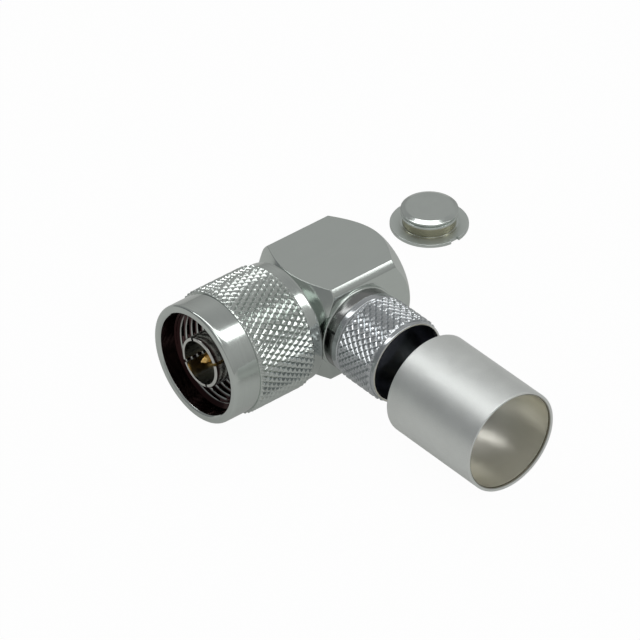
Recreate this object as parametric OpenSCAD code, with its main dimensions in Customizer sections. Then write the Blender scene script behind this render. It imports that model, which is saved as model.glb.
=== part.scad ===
// Right-angle coaxial plug for a thick cable, with its loose crimp ferrule and loose access cap.
// Millimetres. The origin is the middle of the mating plane, which is the front of the outer
// contact. The plug faces -Y, the cable leaves at +X and +Z is up.

/* [Mating end] */
// Outside diameter of the slotted outer contact
contact_od = 8.1; // [7.6:0.05:8.6]
// Inside diameter of the slotted outer contact
contact_id = 7.0; // [6.4:0.05:7.3]
// Step where the outer contact thickens under the seal
root_step = 0.35; // [0.2:0.05:0.6]
// Width of each slot in the outer contact
slot_w = 0.5; // [0.3:0.05:0.9]
// Length of each slot in the outer contact
slot_len = 7.4; // [4:0.1:8]
// Number of slots round the outer contact
slot_count = 4; // [2:1:6]
// Turn of the first slot from the cable side
slot_turn = 25; // [0:1:90]
// Diameter of the pin
pin_d = 1.65; // [1.5:0.05:1.8]
// Distance from the mating plane back to the tip of the pin
pin_back = 0.4; // [0.1:0.05:1.5]
// Length of the thin pin
pin_len = 5.3; // [4:0.1:6.5]
// Diameter of the centre contact behind the pin
centre_d = 3.04; // [2.6:0.02:3.4]
// Distance from the mating plane back to the face of the seal
seal_front = 8.9; // [8.6:0.05:9.6]
// Thickness of the seal
seal_t = 1.5; // [1:0.05:2]
// Distance that the seal stands in from the neck
seal_inset = 0.2; // [0.1:0.05:0.4]

/* [Coupling nut] */
// Distance that the nut stands ahead of the mating plane
nut_ahead = 0.9; // [0.4:0.05:1.6]
// Length of the nut
nut_len = 17; // [16.4:0.1:17.4]
// Diameter of the plain bands at both ends of the nut
nut_band_d = 19.1; // [18.6:0.05:19.4]
// Diameter over the crests of the nut's knurl
nut_knurl_d = 20; // [19.6:0.05:21]
// Distance from the front of the nut to the knurl
nut_knurl_start = 4.75; // [3:0.05:5]
// Length of the nut's knurl
nut_knurl_len = 10.3; // [8:0.1:10.6]
// Rounding of the nut's front rim
nut_rim = 0.6; // [0.2:0.05:0.7]
// Bevel at the rear edge of the nut
nut_rear_bevel = 0.3; // [0.1:0.05:0.9]
// Diameter of the smooth mouth of the nut
mouth_d = 16.4; // [16:0.05:16.8]
// Depth of the smooth mouth of the nut
mouth_len = 2.8; // [1.5:0.1:3.6]
// Diameter across the crests of the nut's inside thread
thread_d = 14.75; // [14.5:0.05:15]
// Distance from the front of the nut to the end of the thread
thread_end = 10.6; // [9.4:0.1:11]
// Width of the relief groove behind the thread
relief_len = 1.8; // [1:0.1:2]
// Diameter of the relief groove behind the thread
relief_d = 16.3; // [15.8:0.05:16.8]

/* [Knurls] */
// Number of diamonds round the nut
nut_diamonds = 60; // [40:2:70]
// Depth of the nut's knurl
nut_knurl_depth = 0.36; // [0.15:0.01:0.4]
// Number of diamonds round the cable post
post_diamonds = 35; // [26:1:48]
// Depth of the cable post's knurl
post_knurl_depth = 0.26; // [0.1:0.01:0.3]
// Angle of the nut's knurl grooves from the axis
nut_knurl_angle = 31; // [25:1:45]
// Angle of the cable post's knurl grooves from the axis
post_knurl_angle = 43; // [30:1:50]
// Length of the bevel at each end of a knurl
knurl_bevel = 0.4; // [0.2:0.05:0.8]

/* [Body] */
// Width and height of the square body
body_w = 16.5; // [16:0.1:17.4]
// Distance from the mating plane back to the front of the square body
body_front = 17; // [16.8:0.1:18]
// Length of the square body
body_len = 17.3; // [16.4:0.1:19]
// Diameter of the round bar that the long edges of the body keep
body_bar_d = 21; // [20:0.1:22]
// Diameter of the flat face at the front of the body
front_face_d = 15.4; // [14:0.1:16]
// Half angle of the turned front end
front_cone = 56; // [48:1:66]
// Diameter of the flat ring face at the rear of the body
rear_face_d = 16; // [14.6:0.1:16]
// Half angle of the turned rear end
rear_cone = 44; // [38:1:56]
// Distance from the mating plane back to the axis of the cable post
post_y = 23.5; // [23:0.1:24.5]
// Diameter of the neck that the nut turns on
neck_d = 12.8; // [12.4:0.05:13.2]
// Diameter of the rear access port
port_d = 9.4; // [8.8:0.1:10]
// Diameter of the seat for the cap's flange
port_seat_d = 12.7; // [12:0.1:13.4]
// Depth of the seat for the cap's flange
port_seat_depth = 0.6; // [0.4:0.05:1]
// Depth of the port bore in front of the seat
port_len = 6.4; // [5:0.1:6.8]

/* [Inside] */
// Diameter of the insulating bead
bead_d = 7.4; // [7.2:0.1:7.6]
// Distance from the mating plane back to the front of the bead
bead_front = 9.4; // [8.8:0.1:10]
// Length of the bead
bead_len = 10.1; // [9.4:0.1:10.2]
// Diameter of the pressed rear part of the outer contact
seat_d = 10; // [9.6:0.1:10.4]
// Length of the pressed rear part of the outer contact
seat_len = 5; // [4:0.1:5.6]
// Diameter of the rear head of the centre contact
head_d = 3.8; // [3.4:0.1:4.4]
// Distance that the rear head reaches past the cable axis
head_past = 2.8; // [2.4:0.1:3.2]
// Width of the solder slot in the rear head
head_slot = 1.3; // [1:0.05:1.6]
// Depth of the solder slot in the rear head
head_slot_depth = 3.6; // [2.6:0.1:4.4]

/* [Snap ring] */
// Width of the snap ring along the axis
snap_w = 0.9; // [0.6:0.05:1.1]
// Thickness of the snap ring across the axis
snap_t = 1.05; // [0.8:0.05:1.2]
// Gap between the ends of the snap ring
snap_gap = 1.6; // [0.8:0.1:3]
// Distance from the front of the neck to the snap ring
snap_start = 3.1; // [2.8:0.1:3.6]

/* [Cable post] */
// Diameter of the round boss on the side of the body
boss_d = 13.9; // [13:0.1:14.4]
// Height of the round boss on the side of the body
boss_len = 0.5; // [0.3:0.05:1]
// Thickness of the split lock ring
lock_t = 1.65; // [1.2:0.05:2.2]
// Outside diameter of the split lock ring
lock_d = 13.4; // [12.6:0.1:13.6]
// Width of the slit in the lock ring
lock_slit = 0.4; // [0.3:0.05:1]
// Turn of the slit in the lock ring from the rear
lock_turn = 155; // [0:1:359]
// Diameter over the crests of the post's knurl
post_d = 13.9; // [13.7:0.05:14.4]
// Diameter of the plain band at the start of the post
post_band_d = 13.6; // [13.4:0.05:13.9]
// Length of the plain band at the start of the post
post_band = 1.25; // [0.8:0.05:2]
// Length of the post from the lock ring to its open end
post_len = 9.5; // [8.5:0.1:11]
// Diameter of the bore that takes the cable's core
post_bore_d = 12; // [11.6:0.05:12.4]
// Length of the plain rim at the end of the post
post_rim = 0.75; // [0.3:0.05:1]
// Thickness of the wall at the bottom of that bore
post_floor = 0.9; // [0.6:0.1:1.4]
// Outside diameter of the shank pressed into the body
shank_d = 11; // [10.6:0.1:11.2]
// Inside diameter of the shank
shank_id = 9; // [8.4:0.1:9.4]
// Diameter of the hole from the shank into the port
cross_d = 6; // [5:0.1:6.2]

/* [Crimp ferrule] */
// Outside diameter of the ferrule
ferrule_d = 16.5; // [15.8:0.1:17.2]
// Wall of the ferrule
ferrule_wall = 0.57; // [0.45:0.01:0.75]
// Length of the ferrule
ferrule_len = 18.3; // [16:0.1:21]
// Distance from the end of the post to the loose ferrule
ferrule_off = 4.15; // [3:0.05:8]
// Distance of the loose ferrule's axis behind the axis of the post
ferrule_side = 0.6; // [0:0.1:2]

/* [Access cap] */
// Thickness of the cap's flange
cap_flange_t = 0.55; // [0.4:0.05:0.8]
// Height of the cap
cap_h = 3.5; // [2.8:0.1:4.4]
// Depth of the groove round the cap's plug
cap_groove = 0.3; // [0.1:0.05:0.5]
// Width of the sloped ring round the top of the cap's plug
cap_bevel = 0.8; // [0.4:0.05:1]
// Width of the prising notch in the flange
cap_notch_w = 1.6; // [1:0.1:3]
// Depth of the prising notch in the flange
cap_notch = 0.5; // [0.3:0.05:1]
// Place of the loose cap to the side of the plug's axis
cap_x = -14.55; // [-22:0.05:-11]
// Place of the loose cap behind the mating plane
cap_y = 57.8; // [52:0.05:64]

/* [Edges] */
// Bevel on the turned edges
edge_break = 0.25; // [0.1:0.05:0.35]
// Bevel on the edges of thin walls
thin_edge = 0.12; // [0.05:0.01:0.2]
// Length of the tapered tip of the pin
pin_tip = 1.2; // [0.5:0.05:1.6]

/* [Clearances] */
// Clearance of the nut on the neck
turn_gap = 0.08; // [0.05:0.01:0.15]
// Clearance left between pressed pieces
press_gap = 0.02; // [0.01:0.01:0.05]
// Clearance of the snap ring in its grooves
snap_clear = 0.1; // [0.06:0.01:0.14]
// Clearance of the cap's plug and flange in the port
cap_gap = 0.2; // [0.05:0.05:0.3]

/* [Hidden] */
$fn = 96;
eps = 0.4;
nut_front = -nut_ahead;
nut_rear = nut_front + nut_len;
neck_front = seal_front + seal_t;
neck_r = neck_d / 2;
lead = (mouth_d - thread_d) / 3;
web_front = nut_front + thread_end + relief_len;
snap_y = neck_front + snap_start;
snap_ri = neck_r - snap_t / 2;
snap_ro = neck_r + snap_t / 2;
body_rear = body_front + body_len;
body_x = body_w / 2;
turned_r = body_bar_d / 2;
boss_start = body_x - 1.75;
seat_rear = neck_front + seat_len;
bead_rear = bead_front + bead_len;
lip_rear = bead_rear + 0.8;
lip_d = bead_d - 0.8;
port_bottom = body_rear - port_seat_depth - port_len;
cavity_d = port_d - 0.4;
head_rear = post_y + head_past;
boss_end = body_x + boss_len;
post_start = boss_end + lock_t;
post_end = post_start + post_len;
shank_in = max(bead_d, port_d) / 2 + 0.3;
post_core_d = post_d - 2 * post_knurl_depth - 0.1;
post_band_r = max(post_band_d, post_core_d + 0.1) / 2;
band_end = post_start + post_band;
ferrule_x = post_end + ferrule_off;
ferrule_z = (ferrule_d - nut_knurl_d) / 2;
cap_plug_d = port_d - 2 * cap_gap;
cap_flange_d = port_seat_d - 2 * cap_gap;
floor_z = -nut_knurl_d / 2;

// Turns a shape drawn along Z so that it lies along Y
module along_y() {
    rotate([-90, 0, 0])
        children();
}

// Turns a shape drawn along Z so that it lies along the axis of the cable post
module along_post() {
    translate([0, post_y, 0])
        rotate([0, 90, 0])
            children();
}

// Plain round rod along Z from a to b
module rod(d, a, b) {
    translate([0, 0, a])
        cylinder(d = d, h = b - a);
}

// Solid turned from pairs of radius and height
module turned(profile) {
    rotate_extrude()
        polygon(profile);
}

// Radius of a knurl at one point of its grid: crests and hollows take turns, and both ends are plain
function knurl_r(i, j, last, r, depth) =
    j == 0 || j == last ? r - depth : ((i + j) % 2 == 0 ? r : r - depth);

// Height of one row of the knurl's grid
function knurl_z(j, last, len, bevel) =
    j == 0 ? 0 : (j == last ? len : bevel + (j - 1) * (len - 2 * bevel) / (last - 2));

// Bar along Z with a diamond knurl, each diamond a low pyramid between two crossing grooves
module knurled_bar(d, depth, len, count, angle, bevel) {
    r = d / 2;
    steps = 2 * count;
    pitch = PI * d / count / 2 / tan(angle);
    last = max(4, round((len - 2 * bevel) / pitch) + 2);
    points = [
        for (j = [0 : last])
            for (i = [0 : steps - 1])
                let (q = knurl_r(i, j, last, r, depth), a = 360 * i / steps)
                    [q * cos(a), q * sin(a), knurl_z(j, last, len, bevel)]
    ];
    sides = [
        for (j = [0 : last - 1])
            for (i = [0 : steps - 1])
                let (k = (i + 1) % steps, a = j * steps + i, b = j * steps + k)
                    for (t = [0, 1])
                        (i + j) % 2 == 0
                            ? (t == 0 ? [a, a + steps, b] : [b, a + steps, b + steps])
                            : (t == 0 ? [a, b + steps, b] : [a, a + steps, b + steps])
    ];
    ends = [[for (i = [0 : steps - 1]) i], [for (i = [steps - 1 : -1 : 0]) last * steps + i]];
    polyhedron(points = points, faces = concat(sides, ends), convexity = 4);
}

// Square body with turned ends, the neck for the nut and the boss for the cable post
module body() {
    fr = front_face_d / 2;
    rr = rear_face_d / 2;
    color([0.74, 0.75, 0.73])
        difference() {
            union() {
                along_y()
                    intersection() {
                        translate([0, 0, body_front])
                            linear_extrude(height = body_len)
                                square([body_w, body_w], center = true);
                        turned([
                            [0, body_front],
                            [fr, body_front],
                            [turned_r, body_front + (turned_r - fr) / tan(front_cone)],
                            [turned_r, body_rear - (turned_r - rr) / tan(rear_cone)],
                            [rr, body_rear],
                            [0, body_rear]
                        ]);
                    }
                along_y()
                    rod(neck_d, neck_front, body_front + eps);
                along_post()
                    turned([
                        [0, boss_start],
                        [boss_d / 2, boss_start],
                        [boss_d / 2, boss_end - edge_break],
                        [boss_d / 2 - edge_break, boss_end],
                        [0, boss_end]
                    ]);
            }
            along_y() {
                rod(seat_d, neck_front - eps, seat_rear);
                rod(bead_d + 2 * press_gap, seat_rear - eps, bead_rear);
                rod(lip_d, bead_rear - eps, lip_rear + eps);
                rod(cavity_d, lip_rear, port_bottom + eps);
                rod(port_d, port_bottom, body_rear);
                rod(port_seat_d, body_rear - port_seat_depth, body_rear + eps);
                difference() {
                    rod(neck_d + 1, snap_y - snap_clear, snap_y + snap_w + snap_clear);
                    rod(2 * (snap_ri - snap_clear), snap_y - 1, snap_y + snap_w + 1);
                }
            }
            along_post() {
                rod(cross_d, 0, shank_in + eps);
                rod(shank_d + 2 * press_gap, shank_in, boss_end + eps);
            }
        }
}

// Slotted sleeve that meets the jack, with the rear part pressed into the neck
module outer_contact() {
    color([0.72, 0.72, 0.68])
        along_y()
            difference() {
                union() {
                    turned([
                        [0, 0],
                        [contact_od / 2 - edge_break, 0],
                        [contact_od / 2, edge_break],
                        [contact_od / 2, seal_front - root_step],
                        [contact_od / 2 + root_step, seal_front],
                        [contact_od / 2 + root_step, neck_front + eps],
                        [0, neck_front + eps]
                    ]);
                    rod(seat_d - 2 * press_gap, neck_front, seat_rear - press_gap);
                }
                rod(contact_id, -eps, seat_rear);
                rod(bead_d + 2 * press_gap, bead_front - press_gap, seat_rear + eps);
                for (k = [0 : slot_count - 1])
                    rotate([0, 0, -slot_turn - 360 * k / slot_count])
                        translate([contact_id / 4, -slot_w / 2, -eps])
                            cube([contact_od / 2, slot_w, slot_len + eps]);
            }
}

// Insulating bead that holds the centre contact
module insulator() {
    color([0.93, 0.93, 0.9])
        along_y()
            difference() {
                rod(bead_d, bead_front, bead_rear - press_gap);
                rod(centre_d + 2 * press_gap, bead_front - eps, bead_rear + eps);
            }
}

// Gold centre contact: pin, shoulder, stem and the rear head with its solder slot
module centre_contact() {
    pr = pin_d / 2;
    cr = centre_d / 2;
    hr = head_d / 2;
    shoulder = pin_back + pin_len;
    color([0.86, 0.66, 0.26])
        along_y()
            difference() {
                turned([
                    [0, pin_back],
                    [pr * 0.25, pin_back],
                    [pr * 0.8, pin_back + pin_tip * 0.6],
                    [pr, pin_back + pin_tip],
                    [pr, shoulder],
                    [cr - thin_edge, shoulder],
                    [cr, shoulder + thin_edge],
                    [cr, bead_rear],
                    [hr, bead_rear],
                    [hr, head_rear - edge_break],
                    [hr - edge_break, head_rear],
                    [0, head_rear]
                ]);
                translate([-head_d, -head_slot / 2, head_rear - head_slot_depth])
                    cube([2 * head_d, head_slot, head_slot_depth + eps]);
            }
}

// Rubber seal round the sleeve, against the front of the neck
module seal() {
    color([0.55, 0.16, 0.1])
        along_y()
            difference() {
                rod(neck_d - 2 * seal_inset, seal_front, neck_front);
                rod(contact_od + 2 * (root_step + press_gap), seal_front - eps, neck_front + eps);
            }
}

// Coupling nut with knurled grip, smooth mouth, thread bore and the groove for the snap ring
module coupling_nut() {
    br = nut_band_d / 2;
    lip = nut_rim * 0.3;
    color([0.8, 0.8, 0.78])
        along_y()
            difference() {
                union() {
                    turned([
                        [0, nut_front],
                        [br - nut_rim, nut_front],
                        [br - lip, nut_front + lip],
                        [br, nut_front + nut_rim],
                        [br, nut_rear - nut_rear_bevel],
                        [br - nut_rear_bevel * 0.35, nut_rear],
                        [0, nut_rear]
                    ]);
                    translate([0, 0, nut_front + nut_knurl_start])
                        knurled_bar(nut_knurl_d, nut_knurl_depth, nut_knurl_len, nut_diamonds,
                            nut_knurl_angle, knurl_bevel);
                }
                turned([
                    [0, nut_front - eps],
                    [mouth_d / 2 + edge_break, nut_front - eps],
                    [mouth_d / 2 + edge_break, nut_front],
                    [mouth_d / 2, nut_front + edge_break],
                    [mouth_d / 2, nut_front + mouth_len],
                    [thread_d / 2, nut_front + mouth_len + lead],
                    [thread_d / 2, nut_front + thread_end],
                    [relief_d / 2, nut_front + thread_end + edge_break],
                    [relief_d / 2, web_front],
                    [0, web_front]
                ]);
                rod(neck_d + 2 * turn_gap, web_front - eps, nut_rear + eps);
                rod(2 * (snap_ro + snap_clear), snap_y - snap_clear, snap_y + snap_w + snap_clear);
            }
}

// Split ring that keeps the nut on the neck
module snap_ring() {
    color([0.6, 0.58, 0.5])
        along_y()
            difference() {
                rod(2 * snap_ro, snap_y, snap_y + snap_w);
                rod(2 * snap_ri, snap_y - eps, snap_y + snap_w + eps);
                translate([0, -snap_gap / 2, snap_y - eps])
                    cube([2 * snap_ro, snap_gap, snap_w + 2 * eps]);
            }
}

// Split ring between the boss and the knurled post
module lock_ring() {
    color([0.42, 0.43, 0.43])
        along_post()
            difference() {
                rod(lock_d, boss_end, post_start);
                rod(shank_d + 2 * press_gap, boss_end - eps, post_start + eps);
                rotate([0, 0, 90 + lock_turn])
                    translate([0, -lock_slit / 2, boss_end - eps])
                        cube([lock_d, lock_slit, lock_t + 2 * eps]);
            }
}

// Post that the cable's braid is crimped on, with its plain band, knurl and the shank in the body
module crimp_post() {
    cr = post_core_d / 2;
    br = post_band_r;
    mr = post_bore_d / 2;
    rim = min(edge_break, (cr - mr - thin_edge) / 2);
    color([0.7, 0.71, 0.7])
        along_post()
            difference() {
                union() {
                    turned([
                        [0, post_start],
                        [br - edge_break, post_start],
                        [br, post_start + edge_break],
                        [br, band_end - (br - cr)],
                        [cr, band_end],
                        [cr, post_end - rim],
                        [cr - rim, post_end],
                        [0, post_end]
                    ]);
                    translate([0, 0, band_end])
                        knurled_bar(post_d, post_knurl_depth, post_len - post_band - post_rim,
                            post_diamonds, post_knurl_angle, knurl_bevel);
                    rod(shank_d, shank_in, post_start + eps);
                }
                rod(shank_id, shank_in - eps, post_end);
                rod(post_bore_d, post_start + post_floor, post_end + eps);
                turned([
                    [0, post_end - thin_edge],
                    [mr, post_end - thin_edge],
                    [mr + thin_edge, post_end],
                    [mr + thin_edge, post_end + eps],
                    [0, post_end + eps]
                ]);
            }
}

// Loose crimp ferrule, lying on the same surface as the nut
module crimp_ferrule() {
    ro = ferrule_d / 2;
    ri = ro - ferrule_wall;
    far = ferrule_x + ferrule_len;
    color([0.82, 0.82, 0.82])
        translate([0, ferrule_side, ferrule_z])
            along_post()
                difference() {
                    turned([
                        [0, ferrule_x],
                        [ro - thin_edge, ferrule_x],
                        [ro, ferrule_x + thin_edge],
                        [ro, far - thin_edge],
                        [ro - thin_edge, far],
                        [0, far]
                    ]);
                    rod(2 * ri, ferrule_x - eps, far + eps);
                }
}

// Loose cap of the access port, lying on its flange with the plug upward
module access_cap() {
    pr = cap_plug_d / 2;
    fr = cap_flange_d / 2;
    rise = cap_h - cap_flange_t - cap_bevel * 0.45;
    z1 = cap_flange_t + rise * 0.64;
    z2 = cap_flange_t + rise * 0.85;
    g = min(thin_edge, rise * 0.07);
    color([0.76, 0.76, 0.74])
        translate([cap_x, cap_y, floor_z])
            difference() {
                turned([
                    [0, 0],
                    [fr - thin_edge, 0],
                    [fr, thin_edge],
                    [fr, cap_flange_t - thin_edge],
                    [fr - thin_edge, cap_flange_t],
                    [pr - cap_groove, cap_flange_t],
                    [pr - cap_groove, z1 - thin_edge],
                    [pr, z1],
                    [pr, z2],
                    [pr - g, z2 + g],
                    [pr, z2 + 2 * g],
                    [pr, cap_flange_t + rise],
                    [pr - cap_bevel, cap_h],
                    [0, cap_h]
                ]);
                translate([fr - cap_notch, -cap_notch_w / 2, -eps])
                    cube([cap_notch + eps, cap_notch_w, cap_flange_t + 2 * eps]);
            }
}

body();
outer_contact();
insulator();
centre_contact();
seal();
coupling_nut();
snap_ring();
lock_ring();
crimp_post();
crimp_ferrule();
access_cap();
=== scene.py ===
"""Looks of a right-angle coaxial crimp plug with its loose ferrule and its loose access cap.

Each piece is a numpy surface: an outline of rounded corners is carried round a turning line, and
knurls, threads and the square body change its radius from point to point. Sizes are millimetres in
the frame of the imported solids, and they become metres when a mesh is made.
"""

import logging
import math
from dataclasses import dataclass, replace
from enum import Enum
from typing import Callable, Sequence

import bmesh
import bpy
import numpy as np
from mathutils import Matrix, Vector


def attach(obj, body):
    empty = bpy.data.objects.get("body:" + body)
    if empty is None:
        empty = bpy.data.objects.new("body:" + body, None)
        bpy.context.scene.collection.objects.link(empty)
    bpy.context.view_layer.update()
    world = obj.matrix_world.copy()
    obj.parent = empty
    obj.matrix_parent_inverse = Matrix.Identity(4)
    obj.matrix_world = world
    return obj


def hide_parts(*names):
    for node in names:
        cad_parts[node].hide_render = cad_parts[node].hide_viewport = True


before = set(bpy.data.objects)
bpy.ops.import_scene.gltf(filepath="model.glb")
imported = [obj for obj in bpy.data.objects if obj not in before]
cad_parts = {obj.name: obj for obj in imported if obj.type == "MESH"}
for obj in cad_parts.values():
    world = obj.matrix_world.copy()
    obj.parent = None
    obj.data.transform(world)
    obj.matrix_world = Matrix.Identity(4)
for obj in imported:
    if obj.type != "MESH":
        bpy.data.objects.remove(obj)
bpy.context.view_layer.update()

MM = 0.001
POST_Y = 23.5
# Points nearer than TOUCH, in metres, are joined; SLACK and TINY ease comparisons in millimetres
TOUCH, SLACK, TINY = 1e-7, 1e-6, 1e-9
# Largest share of a straight run that one rounding takes, and the rows of points on a rounding
MOST_ROUNDED, BEND_ROWS = 0.48, 6
# Rows of points on one pitch of a knurl or a thread
PITCH_ROWS = 8
# Noise steps a millimetre along a tool mark, and in the clouds of a metal and of a soft piece
MARK_STEPS, METAL_CLOUD, SOFT_CLOUD = 0.12, 0.3, 0.5
# Octaves of the marks and clouds, and how much faster turned rings follow the line than the face
DETAIL, RING_LEAD = 3.0, 1.3
log = logging.getLogger("plug")
Colour = tuple[float, float, float]
Pair = tuple[float, float]
Carving = Callable[[np.ndarray, np.ndarray, np.ndarray], np.ndarray]


class Run(Enum):
    """Line that a piece is turned about: a centre, its direction and two cross directions."""

    PLUG = ((0.0, 0.0, 0.0), (0, 1, 0), (1, 0, 0), (0, 0, -1))
    POST = ((0.0, POST_Y, 0.0), (1, 0, 0), (0, 1, 0), (0, 0, 1))
    FERRULE = ((0.0, POST_Y + 0.6, -1.75), (1, 0, 0), (0, 1, 0), (0, 0, 1))
    CAP = ((-14.55, 57.8, -10.0), (0, 0, 1), (1, 0, 0), (0, 1, 0))

    def place(self, along: np.ndarray, out: np.ndarray, turn: np.ndarray) -> np.ndarray:
        """Turns distances into points: centre + along x line + out x (cos turn, sin turn).

        Args:
            along: Distance along the line.
            out: Distance from the line.
            turn: Angle about the line, in radians.

        Returns:
            Points with a last axis of three.
        """
        centre, line, first, second = (np.array(v, float) for v in self.value)
        across, upward = out * np.cos(turn), out * np.sin(turn)
        return (centre + along[..., None] * line + across[..., None] * first
                + upward[..., None] * second)


class Marks(Enum):
    """What the maker's tool left on a metal face."""

    TURNED = "turned"
    DRAWN = "drawn"
    BLASTED = "blasted"


@dataclass(frozen=True)
class Corner:
    """One corner of an outline: distance along the line and out from it, which may be arrays over
    the angle, its rounding, and how the straight run after it is divided."""

    along: float | np.ndarray
    out: float | np.ndarray
    rounding: float = 0.0
    step: float = 1.2
    even: bool = False


@dataclass(frozen=True)
class Slot:
    """A straight slot that leaves a turning line at one angle, in degrees: its span along the line,
    its reach out from it and its width."""

    along: Pair
    out: Pair
    width: float
    turn: float = 0.0


def collar(span: Pair, inside: float, outside: float,
           roundings: Sequence[float] = (0.0, 0.0, 0.0, 0.0)) -> list[Corner]:
    """Outline of a plain ring, or of a plug where the inside is 0.

    Args:
        span: Start and end along the line.
        inside: Inner radius.
        outside: Outer radius.
        roundings: Of the four corners, from the inner one at the start over the outside.

    Returns:
        The corners.
    """
    start, end = span
    spots = ((start, inside), (start, outside), (end, outside), (end, inside))
    return [Corner(*spot, rounding) for spot, rounding in zip(spots, roundings)]


def outline(corners: Sequence[Corner], columns: int, closed: bool) -> np.ndarray:
    """Rows of points round an outline.

    Each corner is cut back by its rounding on both sides and bridged by a quadratic curve,
    (1-t)^2 a + 2t(1-t) c + t^2 b. Each straight run is divided by its step, evenly or with the
    points gathered at both ends by (1 - cos) / 2.

    Args:
        corners: The corners in order, outer side first along the line.
        columns: Number of angles, over which a corner may move.
        closed: Whether the last corner joins the first.

    Returns:
        An array of rows by two by columns.
    """
    spots = np.stack([np.stack([np.broadcast_to(np.asarray(v, float), (columns,))
                                for v in (c.along, c.out)]) for c in corners])
    ahead = np.roll(spots, -1, axis=0) - spots
    length = np.linalg.norm(ahead, axis=1, keepdims=True)
    unit = ahead / np.maximum(length, TINY)
    before, behind = np.roll(length, 1, axis=0), np.roll(unit, 1, axis=0)
    wanted = np.array([c.rounding for c in corners])[:, None, None]
    cut = np.minimum(wanted, MOST_ROUNDED * np.minimum(length, before))
    if not closed:
        cut[[0, -1]] = 0.0
    enter, leave = spots - behind * cut, spots + unit * cut
    bend = np.linspace(0, 1, BEND_ROWS)[:, None, None]
    rows: list[np.ndarray] = []
    for i, corner in enumerate(corners):
        if cut[i].max() > 0:
            rows.append((1 - bend) ** 2 * enter[i] + 2 * bend * (1 - bend) * spots[i]
                        + bend ** 2 * leave[i])
        else:
            rows.append(spots[i][None])
        if not closed and i == len(corners) - 1:
            break
        follow = enter[(i + 1) % len(corners)]
        count = max(1, round(float(np.linalg.norm(follow - leave[i], axis=0).max()) / corner.step))
        count = count if corner.even else max(3, count)
        share = np.linspace(0, 1, count + 1)[1:-1, None, None]
        share = share if corner.even else 0.5 - 0.5 * np.cos(np.pi * share)
        rows.append(leave[i] + (follow - leave[i]) * share)
    return np.concatenate(rows)


def skin(points: np.ndarray, height: np.ndarray, closed: bool) -> np.ndarray:
    """Triangles over a grid of points whose columns close on themselves.

    Each small square is split along the diagonal whose two ends lie lower, so that a groove that
    runs aslant over the grid keeps a straight bottom.

    Args:
        points: The grid, rows by columns by three.
        height: The distance that is compared, rows by columns.
        closed: Whether the last row joins the first.

    Returns:
        Triples of point numbers.
    """
    rows, columns = points.shape[:2]
    number = np.arange(rows * columns).reshape(rows, columns)
    if closed:
        number, height = np.vstack([number, number[:1]]), np.vstack([height, height[:1]])
    number, height = (np.hstack([v, v[:, :1]]) for v in (number, height))
    a, b, c, d = number[:-1, :-1], number[:-1, 1:], number[1:, 1:], number[1:, :-1]
    first = height[:-1, :-1] + height[1:, 1:] <= height[:-1, 1:] + height[1:, :-1] + TINY
    one = np.where(first[..., None], np.stack([a, b, c], -1), np.stack([a, b, d], -1))
    two = np.where(first[..., None], np.stack([a, c, d], -1), np.stack([b, c, d], -1))
    return np.concatenate([one.reshape(-1, 3), two.reshape(-1, 3)])


def new_object(name: str, points: np.ndarray, faces: np.ndarray) -> bpy.types.Object:
    """Makes an object at the origin from points in millimetres, and links it into the scene.

    Args:
        name: The object's name.
        points: Any array of points with a last axis of three.
        faces: Rows of point numbers.

    Returns:
        The object.
    """
    mesh = bpy.data.meshes.new(name)
    mesh.from_pydata(points.reshape(-1, 3) * MM, [], faces)
    mesh.update()
    made = bpy.data.objects.new(name, mesh)
    bpy.context.scene.collection.objects.link(made)
    return made


def close_up(piece: bpy.types.Object) -> None:
    """Joins points that coincide, at a round end's tip or along a cut, and dissolves slivers.

    Args:
        piece: The piece whose mesh is closed up.
    """
    work = bmesh.new()
    work.from_mesh(piece.data)
    bmesh.ops.remove_doubles(work, verts=work.verts, dist=TOUCH)
    bmesh.ops.dissolve_degenerate(work, edges=work.edges, dist=TOUCH)
    work.to_mesh(piece.data)
    work.free()


def shade(piece: bpy.types.Object, angle: float = 32.0) -> None:
    """Shades a piece smoothly, with hard edges where faces meet at more than the angle."""
    piece.data.shade_smooth()
    piece.data.set_sharp_from_angle(angle=math.radians(angle))


def turned(name: str, run: Run, corners: Sequence[Corner], angles: int | np.ndarray = 128,
           closed: bool = True, carve: Carving | None = None) -> bpy.types.Object:
    """Carries an outline round a turning line: point = run.place(along, out, angle).

    Args:
        name: The object's name.
        run: The turning line.
        corners: The outline.
        angles: A number of even angles, or the angles themselves in radians.
        closed: False where the outline starts and ends on the line.
        carve: Gives the distances out anew from along, out and angle, for a knurl or a thread.

    Returns:
        The object.
    """
    if isinstance(angles, int):
        angles = np.linspace(0, 2 * np.pi, angles, endpoint=False)
    rows = outline(corners, len(angles), closed)
    along, out = rows[:, 0], rows[:, 1]
    turn = np.broadcast_to(angles, out.shape)
    out = carve(along, out, turn) if carve else out
    points = run.place(along, out, turn)
    piece = new_object(name, points, skin(points, out, closed))
    if not closed:
        close_up(piece)
    return piece


def bar(run: Run, slot: Slot) -> bpy.types.Object:
    """The cutter of a slot, from its eight corners.

    Args:
        run: The turning line.
        slot: The slot.

    Returns:
        The object.
    """
    sides = (-slot.width / 2, slot.width / 2)
    low, far, side = np.meshgrid(slot.along, slot.out, sides, indexing="ij")
    angle = math.radians(slot.turn) + np.arctan2(side, far)
    points = run.place(low.ravel(), np.hypot(far, side).ravel(), angle.ravel())
    faces = np.array([[0, 1, 3, 2], [4, 6, 7, 5], [0, 4, 5, 1],
                      [2, 3, 7, 6], [0, 2, 6, 4], [1, 5, 7, 3]])
    cutter = new_object("slot", points, faces)
    work = bmesh.new()
    work.from_mesh(cutter.data)
    bmesh.ops.recalc_face_normals(work, faces=work.faces)
    work.to_mesh(cutter.data)
    work.free()
    return cutter


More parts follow.
